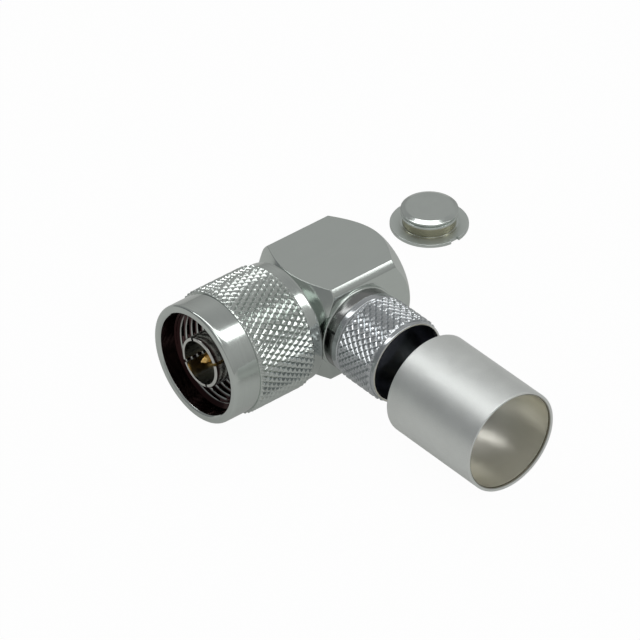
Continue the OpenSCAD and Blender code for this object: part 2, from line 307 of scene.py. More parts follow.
def join(piece: bpy.types.Object, tool: bpy.types.Object, operation: str = "DIFFERENCE") -> None:
    """Takes a tool's solid away from a piece or adds it, and removes the tool.

    Args:
        piece: The piece that is changed.
        tool: The other solid.
        operation: DIFFERENCE or UNION.
    """
    cut = piece.modifiers.new("cut", "BOOLEAN")
    cut.object, cut.operation, cut.solver = tool, operation, "EXACT"
    ready = piece.evaluated_get(bpy.context.evaluated_depsgraph_get())
    old, piece.data = piece.data, bpy.data.meshes.new_from_object(ready)
    piece.modifiers.clear()
    bpy.data.meshes.remove(old)
    spare = tool.data
    bpy.data.objects.remove(tool)
    bpy.data.meshes.remove(spare)
    close_up(piece)


def seat(piece: bpy.types.Object, body: str, node: str, finish: "Finish") -> None:
    """Dresses a piece, sets it on its body in place of its solid, and logs it.

    Args:
        piece: The finished piece.
        body: The body that it rides on.
        node: The solid that it stands for.
        finish: The finish of its surface.
    """
    shade(piece)
    piece.data.materials.clear()
    piece.data.materials.append(finish.material())
    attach(piece, body)
    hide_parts(node)
    log.info("%s: %d faces, finish %s", piece.name, len(piece.data.polygons), finish.name)


class Value:
    """A shader socket that takes part in sums, so that shader maths reads as plain expressions."""

    def __init__(self, board: "Board", socket: bpy.types.NodeSocket | None) -> None:
        """Keeps the board and the socket."""
        self.board, self.socket = board, socket

    def _sum(self, operation: str, first: "Value | float", second: "Value | float") -> "Value":
        """Adds one Math node for two operands."""
        return self.board.add("ShaderNodeMath", {"operation": operation}, {0: first, 1: second})

    def __add__(self, other: "Value | float") -> "Value":
        """Self plus other."""
        return self._sum("ADD", self, other)

    def __sub__(self, other: "Value | float") -> "Value":
        """Self less other."""
        return self._sum("SUBTRACT", self, other)

    def __rsub__(self, other: "Value | float") -> "Value":
        """Other less self."""
        return self._sum("SUBTRACT", other, self)

    def __mul__(self, other: "Value | float") -> "Value":
        """Self times other."""
        return self._sum("MULTIPLY", self, other)

    def __truediv__(self, other: "Value | float") -> "Value":
        """Self over other."""
        return self._sum("DIVIDE", self, other)

    def __pow__(self, other: "Value | float") -> "Value":
        """Self to the power of other."""
        return self._sum("POWER", self, other)

    __radd__ = __add__

    def held(self) -> "Value":
        """The value kept between 0 and 1."""
        return self.board.add("ShaderNodeClamp", {}, {"Value": self})

    def within(self, low: float, high: float) -> "Value":
        """1 between two limits and 0 outside them."""
        return self._sum("GREATER_THAN", self, low) * self._sum("LESS_THAN", self, high)


# A point about a turning line: distance along it, distance out from it and the two cross distances
Spot = tuple[Value, Value, Value, Value]


class Board:
    """The node board of one material or of the world."""

    def __init__(self, tree: bpy.types.NodeTree) -> None:
        """Takes an empty board."""
        self.tree = tree
        tree.nodes.clear()

    def add(self, kind: str, settings: dict | None = None, sockets: dict | None = None,
            out: int | str = 0) -> Value:
        """Adds one node.

        Args:
            kind: Blender's type of the node.
            settings: Its own settings, set first; stops gives a ramp's places and colours.
            sockets: Values or links of its sockets, by name or number.
            out: Which output is wanted.

        Returns:
            That output, or an empty value for a node without outputs.
        """
        node = self.tree.nodes.new(kind)
        for key, value in (settings or {}).items():
            if key == "stops":
                ramp = node.color_ramp.elements
                for place, colour in value[2:]:
                    ramp.new(place).color = colour
                for element, (place, colour) in zip(ramp, sorted(value)):
                    element.position, element.color = place, colour
            else:
                setattr(node, key, value)
        for key, value in (sockets or {}).items():
            if isinstance(value, Value):
                self.tree.links.new(value.socket, node.inputs[key])
            else:
                node.inputs[key].default_value = value
        return Value(self, node.outputs[out] if len(node.outputs) else None)

    def dot(self, vector: Value, direction: Sequence[float]) -> Value:
        """The part of a vector along a direction."""
        return self.add("ShaderNodeVectorMath", {"operation": "DOT_PRODUCT"},
                        {0: vector, 1: tuple(direction)}, "Value")

    def polar(self, run: Run) -> Spot:
        """Where a point lies about a turning line, in millimetres.

        Args:
            run: The turning line.

        Returns:
            Distance along the line, distance out from it, and the two cross distances.
        """
        centre, line, first, second = run.value
        place = self.add("ShaderNodeTexCoord", out="Object")
        moved = self.add("ShaderNodeVectorMath", {"operation": "SUBTRACT"},
                         {0: place, 1: tuple(c * MM for c in centre)})
        along, across, upward = (self.dot(moved, [c / MM for c in v])
                                 for v in (line, first, second))
        return along, (across * across + upward * upward) ** 0.5, across, upward

    def pack(self, x: Value, y: Value, z: Value) -> Value:
        """Three values as one vector."""
        return self.add("ShaderNodeCombineXYZ", {}, {0: x, 1: y, 2: z})

    def scaled(self, spot: Spot, cross: float, line: float) -> Value:
        """A point as a vector, with one scale across the turning line and another along it."""
        along, _, across, upward = spot
        return self.pack(across * cross, upward * cross, along * line)

    def noise(self, vector: Value, detail: float = 2.0, rough: float = 0.5) -> Value:
        """Cloud noise of one unit's scale at a vector, from 0 to 1."""
        return self.add("ShaderNodeTexNoise", {}, {"Vector": vector, "Scale": 1.0, "Detail": detail,
                                                   "Roughness": rough})

    def bump(self, height: Value, depth: float) -> Value:
        """Normal that follows a height from 0 to 1, over a depth in millimetres."""
        return self.add("ShaderNodeBump", {}, {"Strength": 1.0, "Distance": depth * MM,
                                               "Height": height})

    def blend(self, share: Value, first: "Value | Colour", second: "Value | Colour") -> Value:
        """Mixes two colours or links: a share of 0 gives the first and 1 the second."""
        one, two = (c if isinstance(c, Value) else (*c, 1.0) for c in (first, second))
        return self.add("ShaderNodeMix", {"data_type": "RGBA"}, {0: share, 6: one, 7: two}, 2)

    def close(self, shader: Value, kind: str = "ShaderNodeOutputMaterial") -> None:
        """Links a finished shader to the board's output."""
        self.add(kind, {}, {"Surface": shader})


@dataclass(frozen=True)
class Finish:
    """A surface finish with a name; each kind builds its own material."""

    name: str

    def board(self) -> tuple[bpy.types.Material, Board]:
        """A new material and its empty board."""
        made = bpy.data.materials.new(self.name)
        made.use_nodes = True
        return made, Board(made.node_tree)

    def material(self) -> bpy.types.Material:
        """The material of this finish; each kind of finish makes its own."""
        raise NotImplementedError


@dataclass(frozen=True)
class FilmOrPaintedLight:
    """A patch of another tint on part of a metal face, used both for a real film and for painted
    shade and painted highlights: full at one distance from the turning line and gone at another,
    within a span along the line and a shell of distances from it."""

    tint: Colour
    full: float
    gone: float
    span: Pair
    shell: Pair
    rough: float = 0.0
    metal: float = 1.0

    def share(self, along: Value, out: Value) -> Value:
        """How much of the patch lies at a distance along the line and out from it, from 0 to 1."""
        inside = along.within(*self.span) * out.within(*self.shell)
        return ((out - self.gone) / (self.full - self.gone)).held() * inside


@dataclass(frozen=True)
class Metal(Finish):
    """Plated or bare metal: tint, roughness and its spread, tool marks of a pitch and a height
    about a turning line, the drift of its tint, and the films, painted shade and painted highlights
    on parts of it."""

    tint: Colour
    rough: float
    spread: float = 0.12
    marks: Marks = Marks.TURNED
    run: Run = Run.PLUG
    pitch: float = 4.0
    height: float = 0.004
    drift: float = 0.065
    films_and_painted_light: tuple[FilmOrPaintedLight, ...] = ()

    def pattern(self, board: Board, spot: Spot) -> Value:
        """Vector whose noise draws the tool marks: rings round the line, streaks along it or grain.

        Args:
            board: The material's board.
            spot: Along, out and the two cross distances.

        Returns:
            The vector.
        """
        if self.marks is Marks.TURNED:
            along, out, across, upward = spot
            rings = (along * RING_LEAD + out) * self.pitch
            return board.pack(across * MARK_STEPS, upward * MARK_STEPS, rings)
        lengthwise = MARK_STEPS if self.marks is Marks.DRAWN else self.pitch
        return board.scaled(spot, self.pitch, lengthwise)

    def material(self) -> bpy.types.Material:
        """Metal whose colour, roughness and bump follow cloud noise and the tool marks.

        Returns:
            The material.
        """
        made, board = self.board()
        spot = board.polar(self.run)
        lines = board.noise(self.pattern(board, spot), DETAIL, 0.62)
        cloud = board.noise(board.scaled(spot, METAL_CLOUD, METAL_CLOUD), DETAIL, 0.55)
        low, high = (tuple(c * k for c in self.tint) for k in (1.0 - self.drift, 1.0 + self.drift))
        colour = board.blend((lines * 0.5 + cloud * 0.5 - 0.25) * 2.0, low, high)
        rough = self.rough + (lines - 0.5) * self.spread + (cloud - 0.5) * self.spread
        metal: Value | float = 1.0
        # Each patch tints part of the face: a real film, painted shade or a painted highlight.
        for patch in self.films_and_painted_light:
            share = patch.share(*spot[:2])
            colour = board.blend(share, colour, patch.tint)
            rough = rough + share * patch.rough
            if patch.metal < 1.0:
                metal = metal - share * (1.0 - patch.metal)
        board.close(board.add("ShaderNodeBsdfPrincipled", {}, {
            "Base Color": colour, "Roughness": rough.held(), "Metallic": metal,
            "Normal": board.bump(lines, self.height)}))
        return made


@dataclass(frozen=True)
class Soft(Finish):
    """Moulded rubber or white bead: two tints, roughness and its spread, and a fine grain."""

    tint: Colour
    second: Colour
    rough: float
    grain: float
    height: float = 0.01
    spread: float = 0.2

    def material(self) -> bpy.types.Material:
        """Dull material whose colour and roughness drift, with a fine grain as bump.

        Returns:
            The material.
        """
        made, board = self.board()
        spot = board.polar(Run.PLUG)
        cloud = board.noise(board.scaled(spot, SOFT_CLOUD, SOFT_CLOUD), DETAIL)
        grain = board.noise(board.scaled(spot, self.grain, self.grain))
        board.close(board.add("ShaderNodeBsdfPrincipled", {}, {
            "Base Color": board.blend(cloud, self.tint, self.second),
            "Roughness": (self.rough + (grain - 0.5) * self.spread).held(),
            "Normal": board.bump(grain, self.height)}))
        return made


NICKEL: Colour = (0.598, 0.64, 0.612)
GOLD = Metal("gold plate", tint=(0.9, 0.6, 0.22), rough=0.2, spread=0.08, pitch=6.0, height=0.002)
BRONZE = Metal("spring bronze", tint=(0.6, 0.47, 0.3), rough=0.3)
BEAD = Soft("white bead", tint=(0.85, 0.85, 0.82), second=(0.78, 0.78, 0.74), rough=0.42, grain=4.0,
            height=0.004)
RUBBER = Soft("red rubber", tint=(0.2, 0.03, 0.02), second=(0.13, 0.022, 0.018), rough=0.5,
              grain=7.0)
BODY_NICKEL = Metal("bright nickel", tint=NICKEL, rough=0.155, spread=0.03, marks=Marks.DRAWN,
                    pitch=3.0, height=0.0001, drift=0.025)
SLEEVE_NICKEL = Metal("sleeve nickel", tint=(0.62, 0.63, 0.6), rough=0.16, pitch=5.0, height=0.002)
NUT_NICKEL = Metal("nut nickel", tint=NICKEL, rough=0.11, spread=0.05, pitch=3.0,
                   height=0.0012, films_and_painted_light=(
    # Painted shade and painted dark reflection: the mouth's wall and the thread are tinted
    # near-black maroon, and the step just behind the mouth near-black.
    FilmOrPaintedLight((0.085, 0.05, 0.05), full=7.6, gone=7.42, span=(-0.64, 11.6), shell=(7.2, 8.25)),
    FilmOrPaintedLight((0.03, 0.014, 0.014), full=7.6, gone=7.46, span=(1.8, 2.48), shell=(7.4, 8.25))))
POST_NICKEL = Metal("post nickel", tint=(0.55, 0.575, 0.59), rough=0.15, spread=0.06, run=Run.POST,
                    height=0.0015, films_and_painted_light=(
    # Painted shade: the post's bore is tinted dark blue-grey.
    FilmOrPaintedLight((0.28, 0.29, 0.32), full=6.14, gone=6.2, span=(10.0, 19.88), shell=(4.0, 6.36), rough=0.1),
    # Painted highlight: the rim of the post's mouth is tinted near-white.
    FilmOrPaintedLight((0.95, 0.965, 0.97), full=6.26, gone=6.2, span=(19.5, 20.0), shell=(6.16, 6.56),
         rough=-0.02)))
# Painted shade: the lock ring's nickel is darkened for the shade between the body and the post's
# band.
LOCK_PAINTED_SHADE = Metal("nickel with painted shade", tint=(0.28, 0.285, 0.28), rough=0.2, run=Run.POST)
FERRULE_NICKEL = Metal("satin nickel", tint=(0.835, 0.862, 0.842), rough=0.44, marks=Marks.BLASTED,
                       run=Run.FERRULE, pitch=5.0, height=0.006, films_and_painted_light=(
    FilmOrPaintedLight((0.9, 0.885, 0.8), full=7.7, gone=7.74, span=(24.0, 42.1), shell=(7.5, 7.8), rough=-0.12,
         metal=0.88),
    # Painted shade: the inner bevel at the ferrule's far end is tinted dark.
    FilmOrPaintedLight((0.22, 0.21, 0.17), full=7.74, gone=7.9, span=(41.9, 42.4), shell=(7.6, 8.0), rough=-0.1)))
CAP_NICKEL = Metal("cap nickel", tint=NICKEL, rough=0.15, spread=0.06, run=Run.CAP,
                   height=0.0015, films_and_painted_light=(
    # Painted shade with a painted olive reflection: the plug's wall above the flange is tinted
    # olive-brown.
    FilmOrPaintedLight((0.43, 0.41, 0.3), full=4.22, gone=4.4, span=(0.6, 2.3), shell=(4.0, 4.4), rough=0.12),
    FilmOrPaintedLight(NICKEL, full=4.6, gone=4.4, span=(0.45, 0.6), shell=(4.4, 6.1), rough=0.3)))


@dataclass(frozen=True)
class Knurl:
    """A diamond knurl: crossing grooves leave low pyramids with flats on a turned band."""

    count: int
    pitch: float
    depth: float
    crest_along: float
    crest_turn: float
    start: float
    end: float
    end_step: float
    land: float
    bevel: float = 0.4

    def corners(self, root: float) -> list[Corner]:
        """The band at the knurl's root, with fine rows between its bevelled ends."""
        return [Corner(self.start, root, 0.0, self.end_step, True),
                Corner(self.start + self.bevel, root, 0.0, self.pitch / PITCH_ROWS, True),
                Corner(self.end - self.bevel, root, 0.0, self.end_step, True),
                Corner(self.end, root)]

    def rise(self, along: np.ndarray, turn: np.ndarray) -> np.ndarray:
        """Height of the knurl over its root.

        With u and v = count x angle / turn plus and minus along / pitch, the height is the lower of
        the two triangle waves of u and v, cut flat at the land and bevelled at both ends.

        Args:
            along: Distance along the line.
            turn: Angle about it, in radians.

        Returns:
            Heights of the same shape.
        """
        around = self.count * (turn - self.crest_turn) / (2 * np.pi) + 0.5
        shift = (along - self.crest_along) / self.pitch
        waves = [np.abs(((around + sign * shift) % 1.0) - 0.5) for sign in (1, -1)]
        pyramid = 1.0 - 2.0 * np.maximum(*waves)
        ends = np.minimum(along - self.start, self.end - along) / self.bevel
        return self.depth * np.clip(pyramid / self.land, 0, 1) * np.clip(ends, 0, 1)

    def raised(self, root: float, along: np.ndarray, out: np.ndarray,
               turn: np.ndarray) -> np.ndarray:
        """Distances out, with the knurl's height added on the band at its root."""
        band = (out > root - SLACK) & (along >= self.start) & (along <= self.end)
        return np.where(band, out + self.rise(along, turn), out)


@dataclass
class CouplingNut:
    """Knurled nut with its inside thread, and the split ring that keeps it on the neck."""

    front: float = -0.9
    rear: float = 16.1
    rear_bevel: Pair = (0.3, 0.105)
    band: float = 9.55
    root: float = 9.68
    mouth: float = 8.2
    mouth_edge: float = 0.25
    mouth_end: float = 1.9
    thread: float = 7.375
    thread_depth: float = 0.56
    thread_pitch: float = 1.058
    thread_slope: float = 1.25
    thread_crest: float = 0.125
    thread_start: float = 2.45
    thread_end: float = 9.7
    thread_stop: float = 9.75
    relief: float = 8.15
    relief_start: float = 9.95
    bore: float = 6.48
    bore_start: float = 11.5
    groove: float = 7.025
    groove_span: Pair = (13.4, 14.5)
    columns: int = 480
    knurl: Knurl = Knurl(count=60, pitch=1.75, depth=0.32, crest_along=5.18, crest_turn=0.0,
                         start=3.85, end=14.15, end_step=0.14, land=0.7)
    ring: Pair = (5.875, 6.925)
    ring_span: Pair = (13.5, 14.4)
    ring_edge: float = 0.12
    ring_gap: Slot = Slot((13.0, 15.0), (1.0, 8.0), width=1.6)

    def corners(self) -> list[Corner]:
        """Outline of the nut, from the mouth's edge over the outside and back through the bore.

        Returns:
            The corners.
        """
        k, b = self.knurl, self.band
        back, down = self.rear_bevel
        near, far = self.groove_span
        return [
            Corner(self.front, self.mouth + self.mouth_edge, 0.08, 0.4),
            Corner(self.front, b, 0.6, 1.0), Corner(k.start, b), *k.corners(self.root),
            Corner(k.end, b),
            Corner(self.rear - back, b, 0.12), Corner(self.rear, b - down, 0.1),
            Corner(self.rear, self.bore, 0.15), Corner(far, self.bore), Corner(far, self.groove),
            Corner(near, self.groove), Corner(near, self.bore), Corner(self.bore_start, self.bore),
            Corner(self.bore_start, self.relief, 0.15), Corner(self.relief_start, self.relief),
            Corner(self.thread_end, self.thread, 0.0, self.thread_pitch / PITCH_ROWS, True),
            Corner(self.thread_start, self.thread, 0.0, 0.11, True),
            Corner(self.mouth_end, self.mouth),
            Corner(self.front + self.mouth_edge, self.mouth, 0.06)]

    def screw(self, along: np.ndarray, turn: np.ndarray) -> np.ndarray:
        """Radius of the inside thread: crest plus a flat-ended V groove that moves one pitch a turn.

        Args:
            along: Distance along the line.
            turn: Angle about it, in radians.

        Returns:
            The radius at each point.
        """
        place = np.abs((along / self.thread_pitch - turn / (2 * np.pi)) % 1.0 - 0.5) * 2.0
        groove = np.clip(self.thread_slope * (1.0 - place) - self.thread_crest, 0, 1)
        return self.thread + self.thread_depth * groove

    def carve(self, along: np.ndarray, out: np.ndarray, turn: np.ndarray) -> np.ndarray:
        """Raises the knurl outside and cuts the thread inside.

        Args:
            along: Distance along the line.
            out: Distance from it.
            turn: Angle about it, in radians.

        Returns:
            The new distances from the line.
        """
        out = self.knurl.raised(self.root, along, out, turn)
        inside = (out < self.mouth - SLACK) & (along > self.mouth_end) & (along < self.thread_stop)
        return np.where(inside, np.maximum(out, self.screw(along, turn)), out)

    def build(self) -> None:
        """Makes the nut and the snap ring."""
        nut = turned("coupling_nut_dressed", Run.PLUG, self.corners(), self.columns,
                     carve=self.carve)
        seat(nut, "nut", "coupling_nut", NUT_NICKEL)
        ring = turned("snap_ring_dressed", Run.PLUG,
                      collar(self.ring_span, *self.ring, (self.ring_edge,) * 4))
        join(ring, bar(Run.PLUG, self.ring_gap))
        seat(ring, "plug", "snap_ring", BRONZE)


@dataclass
class SquareBody:
    """Square block with turned ends, the neck that the nut turns on, the boss and the rear port."""

    half: float = 8.25
    top_flat: float = 7.33
    side_flat: float = 6.5
    front: float = 17.0
    rear: float = 34.3
    front_face: float = 7.7
    rear_face: float = 8.0
    front_cone: float = 56.0
    rear_cone: float = 44.0
    neck: float = 6.4
    neck_front: float = 10.4
    groove: float = 5.775
    groove_span: Pair = (13.4, 14.5)
    cap_seat: float = 6.35
    cap_seat_floor: float = 33.7
    port: float = 4.7
    port_end: float = 27.3
    cavity: float = 4.5
    cavity_front: float = 20.3
    pin_hole: float = 3.3
    bead_bore: float = 3.72
    bead_stop: float = 19.5
    sleeve_bore: float = 5.0
    sleeve_stop: float = 15.4
    boss: float = 6.95
    boss_span: Pair = (6.5, 8.75)
    boss_edge: float = 0.25
    shank_hole: float = 5.52
    shank_span: Pair = (5.0, 9.2)
    passage: float = 3.0
    passage_span: Pair = (0.0, 5.4)
    flat_columns: int = 40
    edge_columns: int = 14
    boss_columns: int = 96

    def edges(self) -> Pair:
        """Angles, from the side's middle, of the side flat's edge and the top flat's edge."""
        return math.atan2(self.side_flat, self.half), math.atan2(self.half, self.top_flat)

    def angles(self) -> np.ndarray:
        """Angles that meet the long edges of the four flats: even steps over each flat and over
        each eased edge between two flats.

        Returns:
            The angles of one turn, in radians.
        """
        steps = np.linspace(-1, 1, self.flat_columns, endpoint=False)
        side, top = (np.arctan(steps * flat / self.half)
                     for flat in (self.side_flat, self.top_flat))
        low, high = self.edges()
        rising = np.linspace(low, high, self.edge_columns, endpoint=False)
        falling = np.linspace(np.pi - high, np.pi - low, self.edge_columns, endpoint=False)
        half_turn = np.concatenate([side, rising, top + np.pi / 2, falling])
        return np.concatenate([half_turn, half_turn + np.pi])

    def reach(self, turn: np.ndarray) -> np.ndarray:
        """Polar radius of a square bar with eased long edges: half / cos on a flat, and between two
        flats far - (far - near) (1 - t)^3, which runs from the side flat's edge to the top flat's.

        Args:
            turn: Angles in radians.

        Returns:
            The radius at each angle.
        """
        level, upright = np.abs(np.cos(turn)), np.abs(np.sin(turn))
        low, high = self.edges()
        share = (np.arctan2(upright, level) - low) / (high - low)
        near, far = math.hypot(self.half, self.side_flat), math.hypot(self.half, self.top_flat)
        eased = far - (far - near) * (1.0 - share) ** 3
        between = (share > 0.0) & (share < 1.0)
        return np.where(between, eased, self.half / np.maximum(level, upright))

    def corners(self, turn: np.ndarray) -> list[Corner]:
        """Outline of the body at every angle: the edges between cones and flats move with it.

        Args:
            turn: Angles in radians.

        Returns:
            The corners.
        """
        reach = self.reach(turn)
        ahead = self.front + (reach - self.front_face) / math.tan(math.radians(self.front_cone))
        behind = self.rear - (reach - self.rear_face) / math.tan(math.radians(self.rear_cone))
        near, far = self.groove_span
        return [
            Corner(self.neck_front, self.sleeve_bore), Corner(self.neck_front, self.neck, 0.12),
            Corner(near, self.neck), Corner(near, self.groove), Corner(far, self.groove),
            Corner(far, self.neck), Corner(self.front, self.neck),
            Corner(self.front, self.front_face, 0.12, 0.5), Corner(ahead, reach, 0.1, 0.9),
            Corner(behind, reach, 0.1, 0.5), Corner(self.rear, self.rear_face, 0.14, 0.5),
            Corner(self.rear, self.cap_seat, 0.06), Corner(self.cap_seat_floor, self.cap_seat),
            Corner(self.cap_seat_floor, self.port, 0.06), Corner(self.port_end, self.port),
            Corner(self.port_end, self.cavity), Corner(self.cavity_front, self.cavity),
            Corner(self.cavity_front, self.pin_hole), Corner(self.bead_stop, self.pin_hole),
            Corner(self.bead_stop, self.bead_bore), Corner(self.sleeve_stop, self.bead_bore),
            Corner(self.sleeve_stop, self.sleeve_bore)]

    def build(self) -> None:
        """Makes the body, adds the boss and bores both holes along the cable's line."""
        turn = self.angles()
        body = turned("body_dressed", Run.PLUG, self.corners(turn), turn)
        boss = collar(self.boss_span, 0.0, self.boss, (0.0, 0.0, self.boss_edge, 0.0))
        join(body, turned("boss", Run.POST, boss, self.boss_columns, False), "UNION")
        for span, size in ((self.shank_span, self.shank_hole), (self.passage_span, self.passage)):
            join(body, turned("drill", Run.POST, collar(span, 0.0, size), self.boss_columns, False))
        seat(body, "plug", "body", BODY_NICKEL)
        smooth = body.modifiers.new("flat faces", "WEIGHTED_NORMAL")
        smooth.keep_sharp = True


@dataclass
class MatingEnd:
    """Slotted sleeve, gold pin, white bead and red seal inside the nut."""

    sleeve: float = 4.05
    sleeve_bore: float = 3.5
    sleeve_end: float = 8.55
    sleeve_columns: int = 144
    step: float = 4.4
    step_span: Pair = (8.9, 10.4)
    shank: float = 4.98
    shank_end: float = 15.38
    shank_bore: float = 3.72
    bead_front: float = 9.38
    slot: Slot = Slot((-0.5, 7.4), (1.75, 5.5), width=0.5, turn=-25.0)
    pin: float = 0.825
    pin_tip: float = 0.4
    pin_tip_share: float = 0.15
    pin_bend: float = 1.12
    pin_bend_share: float = 0.66
    pin_full: float = 1.9
    stem: float = 1.52
    stem_span: Pair = (5.7, 19.5)
    head: float = 1.9
    head_end: float = 26.3
    pin_columns: int = 64
    solder_slot: Slot = Slot((22.7, 27.0), (-3.0, 3.0), width=1.3)
    bead: Pair = (1.54, 3.7)
    bead_span: Pair = (9.4, 19.48)
    seal: Pair = (4.42, 6.2)

    def sleeve_corners(self) -> list[Corner]:
        """Outline of the sleeve, from its mouth over the outside and back through the bore.

        Returns:
            The corners.
        """
        near, far = self.step_span
        return [
            Corner(0.0, self.sleeve_bore, 0.08), Corner(0.0, self.sleeve, 0.4),
            Corner(self.sleeve_end, self.sleeve), Corner(near, self.step), Corner(far, self.step),
            Corner(far, self.shank), Corner(self.shank_end, self.shank),
            Corner(self.shank_end, self.shank_bore), Corner(self.bead_front, self.shank_bore),
            Corner(self.bead_front, self.sleeve_bore)]

    def pin_corners(self) -> list[Corner]:
        """Outline of the gold contact, from its tapered tip to the end of its slotted head.

        Returns:
            The corners.
        """
        tip, p = self.pin_tip, self.pin
        near, far = self.stem_span
        return [
            Corner(tip, 0.0, 0.0, 0.1), Corner(tip, p * self.pin_tip_share, 0.06, 0.1),
            Corner(self.pin_bend, p * self.pin_bend_share, 0.2, 0.2),
            Corner(self.pin_full, p, 0.3), Corner(near, p), Corner(near, self.stem, 0.12),
            Corner(far, self.stem), Corner(far, self.head, 0.06),
            Corner(self.head_end, self.head, 0.25), Corner(self.head_end, 0.0)]

    def build(self) -> None:
        """Makes the four pieces."""
        sleeve = turned("outer_contact_dressed", Run.PLUG, self.sleeve_corners(),
                        self.sleeve_columns)
        for quarter in range(4):
            join(sleeve, bar(Run.PLUG, replace(self.slot, turn=self.slot.turn + 90.0 * quarter)))
        seat(sleeve, "plug", "outer_contact", SLEEVE_NICKEL)
        pin = turned("centre_contact_dressed", Run.PLUG, self.pin_corners(), self.pin_columns,
                     closed=False)
        join(pin, bar(Run.PLUG, self.solder_slot))
        seat(pin, "plug", "centre_contact", GOLD)
        bead = turned("insulator_dressed", Run.PLUG,
                      collar(self.bead_span, *self.bead, (0.0, 0.1, 0.1, 0.0)))
        seat(bead, "plug", "insulator", BEAD)
        ring = turned("seal_dressed", Run.PLUG,
                      collar(self.step_span, *self.seal, (0.2, 0.4, 0.2, 0.0)))
        seat(ring, "plug", "seal", RUBBER)


@dataclass
class CablePost:
    """Knurled post for the cable's braid and the split lock ring behind it."""

    start: float = 10.4
    end: float = 19.9
    band: float = 6.8
    band_gap: float = 0.16
    core: float = 6.64
    root: float = 6.71
    shank: float = 5.5
    shank_start: float = 5.0
    shank_bore: float = 4.5
    bore: float = 6.0
    bore_end: float = 11.3
    lead_in: Pair = (0.7, 0.34)
    columns: int = 280
    knurl: Knurl = Knurl(count=35, pitch=1.34, depth=0.24, crest_along=12.72,
                         crest_turn=-math.pi / 2, start=11.65, end=19.15, end_step=0.1, land=0.5)
    lock: Pair = (5.52, 6.7)
    lock_start: float = 8.75
    lock_edge: float = 0.06
    lock_slit: Slot = Slot((8.0, 11.0), (3.0, 7.5), width=0.4, turn=155.0)

    def corners(self) -> list[Corner]:
        """Outline of the post, from the shank's end over the knurl and back through the bore.

        Returns:
            The corners.
        """
        k = self.knurl
        deep, wide = self.lead_in
        return [
            Corner(self.shank_start, self.shank_bore), Corner(self.shank_start, self.shank, 0.15),
            Corner(self.start, self.shank), Corner(self.start, self.band, 0.2, 0.3),
            Corner(k.start - self.band_gap, self.band, 0.05), Corner(k.start, self.core),
            *k.corners(self.root), Corner(k.end, self.core), Corner(self.end, self.core, 0.14),
            Corner(self.end, self.bore + wide, 0.08), Corner(self.end - deep, self.bore, 0.2),
            Corner(self.bore_end, self.bore), Corner(self.bore_end, self.shank_bore, 0.06)]

    def carve(self, along: np.ndarray, out: np.ndarray, turn: np.ndarray) -> np.ndarray:
        """Distances out, with the knurl raised."""
        return self.knurl.raised(self.root, along, out, turn)

    def build(self) -> None:
        """Makes the post and the lock ring."""
        post = turned("crimp_post_dressed", Run.POST, self.corners(), self.columns,
                      carve=self.carve)
        seat(post, "plug", "crimp_post", POST_NICKEL)
        edges = (0.0, self.lock_edge, self.lock_edge, 0.0)
        lock = turned("lock_ring_dressed", Run.POST,
                      collar((self.lock_start, self.start), *self.lock, edges))
        join(lock, bar(Run.POST, self.lock_slit))
        seat(lock, "plug", "lock_ring", LOCK_PAINTED_SHADE)


@dataclass
class Ferrule:
    """Loose thin-walled crimp sleeve."""

    start: float = 24.05
    end: float = 42.35
    outside: float = 8.25
    inside: float = 7.68
    bevel: Pair = (0.22, 0.3)
    columns: int = 192

    def build(self) -> None:
        """Makes the ferrule."""
        deep, wide = self.bevel
        sleeve = turned("crimp_ferrule_dressed", Run.FERRULE, [
            Corner(self.start, self.inside, 0.12), Corner(self.start, self.outside, 0.16),
            Corner(self.end, self.outside, 0.12), Corner(self.end, self.inside + wide, 0.05),
            Corner(self.end - deep, self.inside, 0.05)], self.columns)
        seat(sleeve, "plug", "crimp_ferrule", FERRULE_NICKEL)


@dataclass
class AccessCap:
    """Loose cap of the rear port: a flange with a prising notch, and a grooved plug."""

    flange: float = 6.15
    flange_t: float = 0.55
    plug: float = 4.5
    height: float = 3.5
    neck_depth: float = 0.3
    neck_end: Pair = (2.09, 2.21)
    groove_depth: float = 0.27
    groove_low: Pair = (2.58, 2.7)
    groove_high: Pair = (2.96, 3.02)
    bevel: float = 0.8
    bevel_start: float = 3.14
    columns: int = 144
    notch: Slot = Slot((-0.5, 1.0), (5.65, 7.0), width=1.6)

    def corners(self) -> list[Corner]:
        """Outline of the cap, from the middle of its flange over the plug to the middle of its top.

        Returns:
            The corners.
        """
        f, p = self.flange, self.plug
        neck, groove = p - self.neck_depth, p - self.groove_depth
        return [
            Corner(0.0, 0.0), Corner(0.0, f, 0.12), Corner(self.flange_t, f, 0.12),
            Corner(self.flange_t, neck, 0.06), Corner(self.neck_end[0], neck),
            Corner(self.neck_end[1], p, 0.12, 0.2), Corner(self.groove_low[0], p, 0.03),
            Corner(self.groove_low[1], groove, 0.03), Corner(self.groove_high[0], groove, 0.03),
            Corner(self.groove_high[1], p, 0.04, 0.2), Corner(self.bevel_start, p, 0.06, 0.3),
            Corner(self.height, p - self.bevel, 0.05, 0.6), Corner(self.height, 0.0)]

    def build(self) -> None:
        """Makes the cap and cuts its notch."""
        cap = turned("access_cap_dressed", Run.CAP, self.corners(), self.columns, False)
        join(cap, bar(Run.CAP, self.notch))
        seat(cap, "plug", "access_cap", CAP_NICKEL)


